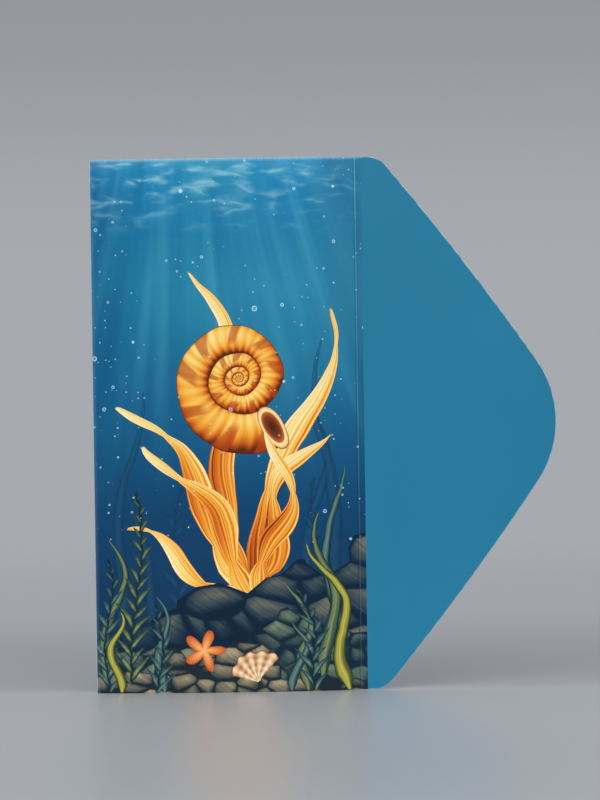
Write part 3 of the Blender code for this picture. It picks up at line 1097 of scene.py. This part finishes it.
# %% Let bubbles rise
for size, seed, thinning in ((7, 5, 0.88), (4, 40, 0.8), (2.4, 71, 0.74), (1.7, 19, 0.88)):
    art = bubbles(art, x, y, size, seed, thinning)

# %% [markdown]
# ## Where the print ends, how it wears, and painted light at its folds
#
# The picture runs 2 mm past the crease and past the left fold, which leaves room for a fold that is
# slightly off. Beyond that the sheet is one plain blue, and the tabs are left bare. Ink cracks where card
# is folded or cut, and rounded folds catch the light, so thin pale lines follow the crease, the top fold,
# the left fold and the flap's edge, broken up by a noise: worn ink and painted highlight together. A dark
# line of painted shade runs along each side of the crease, and the strip just past it is painted a little
# darker.

# %% End the print, wear the folds and paint their highlights and shade
BLEED = 2
SEA_BLUE = ink(36, 120, 154)
SEA_BLUE_LIGHT = ink(38, 123, 157)
BARE_WHITE = ink(230, 230, 226)
SHEET_TOP = POCKET_HEIGHT / MM
sheet_end = FRONT_LENGTH / MM
dark_sides = (sheet_end - 0.3, sheet_end + 0.5)


def plain_blue(x, y):
    return paint(SEA_BLUE, SEA_BLUE_LIGHT, ease(noise(point(x, y), 34), -0.2, 0.3))


def end_wear(y, crumble, reach):
    """How pale the top edge is, down to that reach: rubbed ink and a painted highlight where the fold rounds
    over.
    """
    past = y - SHEET_TOP
    return ease(past, -reach, 0.1) * ease(past, 1.2, 0.5) * (ease(crumble, -0.3, 0.15) * 0.5 + 0.5)


crumble = noise(point(x * 3, y), 2.5, 4)
from_middle = abs(x - sheet_end / 2) - sheet_end / 2
art = paint(art, plain_blue(x, y), ease(from_middle, BLEED - 0.1, BLEED + 0.1))
art = paint(art, BARE_WHITE, ease(abs(y - SHEET_TOP / 2) - SHEET_TOP / 2, BLEED - 0.1, BLEED + 0.1))
# A dark line of painted shade on each side of the crease, and a little painted shade on the strip past it.
left_side = ease(abs(x - dark_sides[0]), 0.3, 0.1) * (ease(y, 84, 50) * 0.16 + 0.24)
right_side = ease(abs(x - dark_sides[1]), 0.26, 0.08) * 0.24
shaded = larger(larger(left_side, right_side), ease(x - sheet_end, 0.3, 0.6) * 0.12)
art = paint(art, ink(6, 46, 78), shaded)
# Pale lines along the crease: cracked ink, with a painted highlight on its shoulders that is stronger towards
# the top.
on_crease = ease(abs(x - sheet_end - 0.06), 0.28, 0.1)
cracked = on_crease * (ease(y, 136, 158) * 0.26 + ease(y, 20, 100) * 0.09 + 0.06)
art = paint(art, ink(120, 190, 218), cracked * ease(crumble, -0.5, 0.0))
# A soft painted highlight along the left fold, and along the top edge a pale line of rubbed ink and painted
# highlight.
soft_light = ease(x, 1.7, 0.2) * 0.09
art = paint(art, ink(180, 210, 220), larger(end_wear(y, crumble, 1.3) * 0.62, soft_light))
# A bright, broken line at the very left edge: the painted highlight of the rounded fold, with a little wear,
# brighter near the top.
rubbed_fold = ease(x, 0.42, 0.1) * ease(x, -1.6, -0.9) * (ease(crumble, -0.3, 0.2) * 0.2 + 0.48)
art = paint(art, ink(228, 242, 250), rubbed_fold * (ease(y, 154, 164) * 0.4 + 1))

# %% [markdown]
# ## Coated card
#
# The printed side has a satin water-based varnish, so it shines softly and shows a little of the fibre
# below. The inner side is the same card without coat or ink: white, matt and rougher. The cut edge shows
# the board's core, a greyer white with loose fibres. Where a tab is glued behind the back, its edge presses
# through, and the back's relief steps up faintly along it.

# %% Give the card its surface
MOTTLE_SIZE = 6 * MM
MOTTLE_DEPTH = 0.14
RELIEF_STRENGTH = 0.5
TAB_RELIEF = 5


def object_place():
    return Field(add_node("ShaderNodeTexCoord").outputs["Object"])


def card_surface(shader, colour, gloss, roughness, fibre, depth, pressed=0):
    """A card's colour, its roughness with fine mottling, and a relief of fibres of that size.

    Pressed adds to the relief, in shares of its depth.
    """
    place = object_place()
    feed(colour, shader.inputs["Base Color"])
    shader.inputs["Specular IOR Level"].default_value = gloss
    feed(noise(place, MOTTLE_SIZE, 3) * MOTTLE_DEPTH + roughness, shader.inputs["Roughness"])
    relief = add_node("ShaderNodeBump", {"Strength": RELIEF_STRENGTH, "Distance": depth})
    feed(noise(place, fibre, 4) + pressed, relief.inputs["Height"])
    tree.links.new(relief.outputs["Normal"], shader.inputs["Normal"])


PRINTED_CARD = {"gloss": 0.11, "roughness": 0.46, "fibre": 0.8 * MM, "depth": 0.02 * MM}
card_surface(shader, art, **PRINTED_CARD)
print("nodes in the print", len(tree.nodes))

# %% Finish the plain, bare and cut faces
shader = open_tree("plain_blue")
x, y = sheet_place()
# A pale line along the top edge: rubbed ink and a painted highlight.
rubbed = end_wear(y, noise(point(x * 3, y), 2.5, 4), 0.6) * 0.4
over_tab = abs(y - SHEET_TOP / 2) - SHEET_TOP / 2 + TAB_WIDTH / MM
pressed = ease(over_tab, -0.5, 0.3) * ease(x, -2, -4) * TAB_RELIEF
card_surface(shader, paint(plain_blue(x, y), ink(190, 214, 224), rubbed), pressed=pressed, **PRINTED_CARD)

shader = open_tree("worn_edge")
x, y = sheet_place()
# Along the flap's outline: worn ink and a painted highlight, stronger towards the top.
rubbed = ease(noise(point(x, y), 3, 3), -0.3, 0.2) * (ease(y, 30, 130) * 0.5 + 0.3)
card_surface(shader, paint(plain_blue(x, y), ink(206, 224, 230), rubbed), **PRINTED_CARD)

shader = open_tree("bare_card")
pulp = noise(object_place(), 9 * MM, 5)
flecks = ease(noise(object_place(), 0.7 * MM, 2), 0.2, 0.34)
bare = paint(BARE_WHITE, ink(234, 234, 230), ease(pulp, -0.2, 0.2))
bare = paint(bare, ink(204, 202, 192), flecks * 0.5)
card_surface(shader, bare, gloss=0.15, roughness=0.72, fibre=0.5 * MM, depth=0.04 * MM)

shader = open_tree("cut_edge")
fibres = ease(noise(object_place(), 0.25 * MM, 4), -0.2, 0.2)
core = paint(ink(196, 204, 206), ink(226, 228, 226), fibres)
card_surface(shader, core, gloss=0.15, roughness=0.8, fibre=0.2 * MM, depth=0.06 * MM)

# %% [markdown]
# ## Which face gets which finish
#
# Solidify has already told the printed faces, the inner faces and the cut edges apart. The flap's printed
# side past the bleed is plain, so its faces get the plain blue, and the border falls on one of the columns
# that bisect cut. The narrow band along the flap's outline, which the die pressed down, gets the worn blue,
# which also carries a painted highlight.

# %% Hand out the finishes
PRINTED_SLOT, PLAIN_SLOT, WORN_SLOT = 0, 3, 4
back_sheet.data.materials[PRINTED_SLOT] = bpy.data.materials["plain_blue"]
for finish in ("plain_blue", "worn_edge"):
    front_sheet.data.materials.append(bpy.data.materials[finish])
for face in front_sheet.data.polygons:
    if face.material_index == PRINTED_SLOT and (face.center - crease).dot(out) > BLEED * MM:
        rolled = sum(on_outline(front_sheet.data.vertices[corner].co) for corner in face.vertices)
        face.material_index = WORN_SLOT if len(face.vertices) == 4 and rolled == 2 else PLAIN_SLOT
for slot, material in enumerate(front_sheet.data.materials):
    print(material.name, sum(face.material_index == slot for face in front_sheet.data.polygons), "faces")

# %% [markdown]
# ## The glue
#
# Two lines of white glue hold the tabs to the back. Dried glue is clear, faintly yellow and a little lumpy.
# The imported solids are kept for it, and only get the finish.

# %% Finish the glue
shader = open_tree("dried_glue")
lumps = ease(noise(object_place(), 2.5 * MM, 3), -0.2, 0.2)
glue = paint(ink(214, 208, 186), ink(236, 232, 214), lumps)
card_surface(shader, glue, gloss=0.5, roughness=0.3, fibre=1.5 * MM, depth=0.1 * MM)
for node in ("top_glue", "bottom_glue"):
    for holder in bpy.data.objects[node].material_slots:
        holder.material = bpy.data.materials["dried_glue"]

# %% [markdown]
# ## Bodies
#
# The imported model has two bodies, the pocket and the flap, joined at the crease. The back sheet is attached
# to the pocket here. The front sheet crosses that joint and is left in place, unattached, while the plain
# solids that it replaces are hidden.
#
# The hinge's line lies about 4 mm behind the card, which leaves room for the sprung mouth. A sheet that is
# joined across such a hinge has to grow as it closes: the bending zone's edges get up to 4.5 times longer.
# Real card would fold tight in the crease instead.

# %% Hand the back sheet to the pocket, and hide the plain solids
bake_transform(front_sheet)
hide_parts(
    "front_panel", "flap_crease", "flap", "spine_fold", "top_fold", "bottom_fold", "top_tab",
    "bottom_tab",
)
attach(back_sheet, "pocket")
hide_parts("back_panel")

# %% [markdown]
# ## Table, backdrop and light
#
# The table is a wide pale plane. Far from the envelope it fades into the backdrop's grey for what looks at
# it straight or in a reflection, so no horizon shows. The backdrop's grey is the world's colour. One wide
# soft light stands in front and above, and the world fills the shadow that it leaves behind the envelope.
# The table is also painted a little darker in a band behind the envelope, a painted shadow over the real one.
# White card laid round the foot of an object is an old trick for lighting its lower part, and here the
# table gives that light to the envelope without looking brighter itself.

# %% Set the stage
FLOOR_SIZE = 7
TABLE_ROUGHNESS = 0.33
FADE_START, FADE_END = 0.35, 1.1  # metres from the envelope's middle, between which the table fades
BOUNCE_START, BOUNCE_END = 0.03, 0.3  # and between which its light on the envelope dies away
BOUNCE_STRENGTH = 0.4
FILL_STRENGTH = 0.74
SOFTBOX_WIDTH, SOFTBOX_HEIGHT = 2.2, 1.0
SOFTBOX_PLACE = (-0.1, -2.1, 1.45)
SOFTBOX_WATTS = 33.5
BACKDROP = ink(167, 170, 174)


def seen_directly():
    """1 for what is seen straight, in a mirror or through glass, and 0 for the light on the object."""
    rays = add_node("ShaderNodeLightPath").outputs
    straight_or_glossy = larger(Field(rays["Is Camera Ray"]), Field(rays["Is Glossy Ray"]))
    return larger(straight_or_glossy, Field(rays["Is Transmission Ray"]))


def mix_shaders(share, one, other):
    return add_node("ShaderNodeMixShader", {0: share, 1: Field(one), 2: Field(other)}).outputs["Shader"]


bpy.ops.object.select_all(action="DESELECT")
bpy.ops.mesh.primitive_plane_add(size=FLOOR_SIZE, location=(0, 0, 0))
floor = bpy.context.object
floor.name = "floor"
shader = open_tree("table")
floor_x, floor_y = parts(object_place())
distance = (floor_x * floor_x + floor_y * floor_y) ** 0.5
# A painted shadow: the table is darker in a band behind the envelope.
band = ease(floor_y, -0.01, 0.03) * ease(floor_y, 0.5, 0.2)
top_colour = paint(ink(191, 194, 196), ink(181, 184, 186), ease(floor_y, -0.02, -0.42))
feed(paint(top_colour, ink(175, 178, 181), band), shader.inputs["Base Color"])
shader.inputs["Roughness"].default_value = TABLE_ROUGHNESS
glow = add_node("ShaderNodeEmission", {"Color": BACKDROP})
far_share = ease(distance, FADE_START, FADE_END) * seen_directly()
faded = mix_shaders(far_share, shader.outputs["BSDF"], glow.outputs["Emission"])
bounce = add_node("ShaderNodeEmission")
near_share = (1 - seen_directly()) * ease(distance, BOUNCE_END, BOUNCE_START)
feed(near_share * BOUNCE_STRENGTH, bounce.inputs["Strength"])
both = add_node("ShaderNodeAddShader", {0: Field(faded), 1: Field(bounce.outputs["Emission"])})
tree.links.new(both.outputs["Shader"], tree.nodes["Material Output"].inputs["Surface"])
floor.data.materials.append(bpy.data.materials["table"])
floor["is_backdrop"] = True

# %% Set the light
world = bpy.data.worlds.new("room")
bpy.context.scene.world = world
world.use_nodes = True
tree = world.node_tree
tree.nodes.clear()
direction = add_node("ShaderNodeSeparateXYZ")
tree.links.new(add_node("ShaderNodeTexCoord").outputs["Generated"], direction.inputs["Vector"])
backdrop = add_node("ShaderNodeBackground")
upward = ease(Field(direction.outputs["Z"]), -0.01, 0.026)
feed(paint(BACKDROP, ink(148, 151, 155), upward), backdrop.inputs["Color"])
fill = add_node("ShaderNodeBackground", {"Color": ink(232, 234, 238), "Strength": FILL_STRENGTH})
room = mix_shaders(seen_directly(), fill.outputs["Background"], backdrop.outputs["Background"])
tree.links.new(room, add_node("ShaderNodeOutputWorld").inputs["Surface"])

softbox = bpy.data.objects.new("softbox", bpy.data.lights.new("softbox", "AREA"))
bpy.context.scene.collection.objects.link(softbox)
softbox.data.shape = "RECTANGLE"
softbox.data.size = SOFTBOX_WIDTH
softbox.data.size_y = SOFTBOX_HEIGHT
softbox.data.energy = SOFTBOX_WATTS
softbox.location = SOFTBOX_PLACE
softbox.rotation_euler = (aim - softbox.location).to_track_quat("-Z", "Y").to_euler()
print("softbox", round((aim - softbox.location).length, 2), "m away")

# %% [markdown]
# ## The boxes
#
# The looks stay inside the imported model's box. Both boxes are worked out here and kept side by side.

# %% Work out the boxes and finish
boxes = {"cad": cad_box, "visual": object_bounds()}
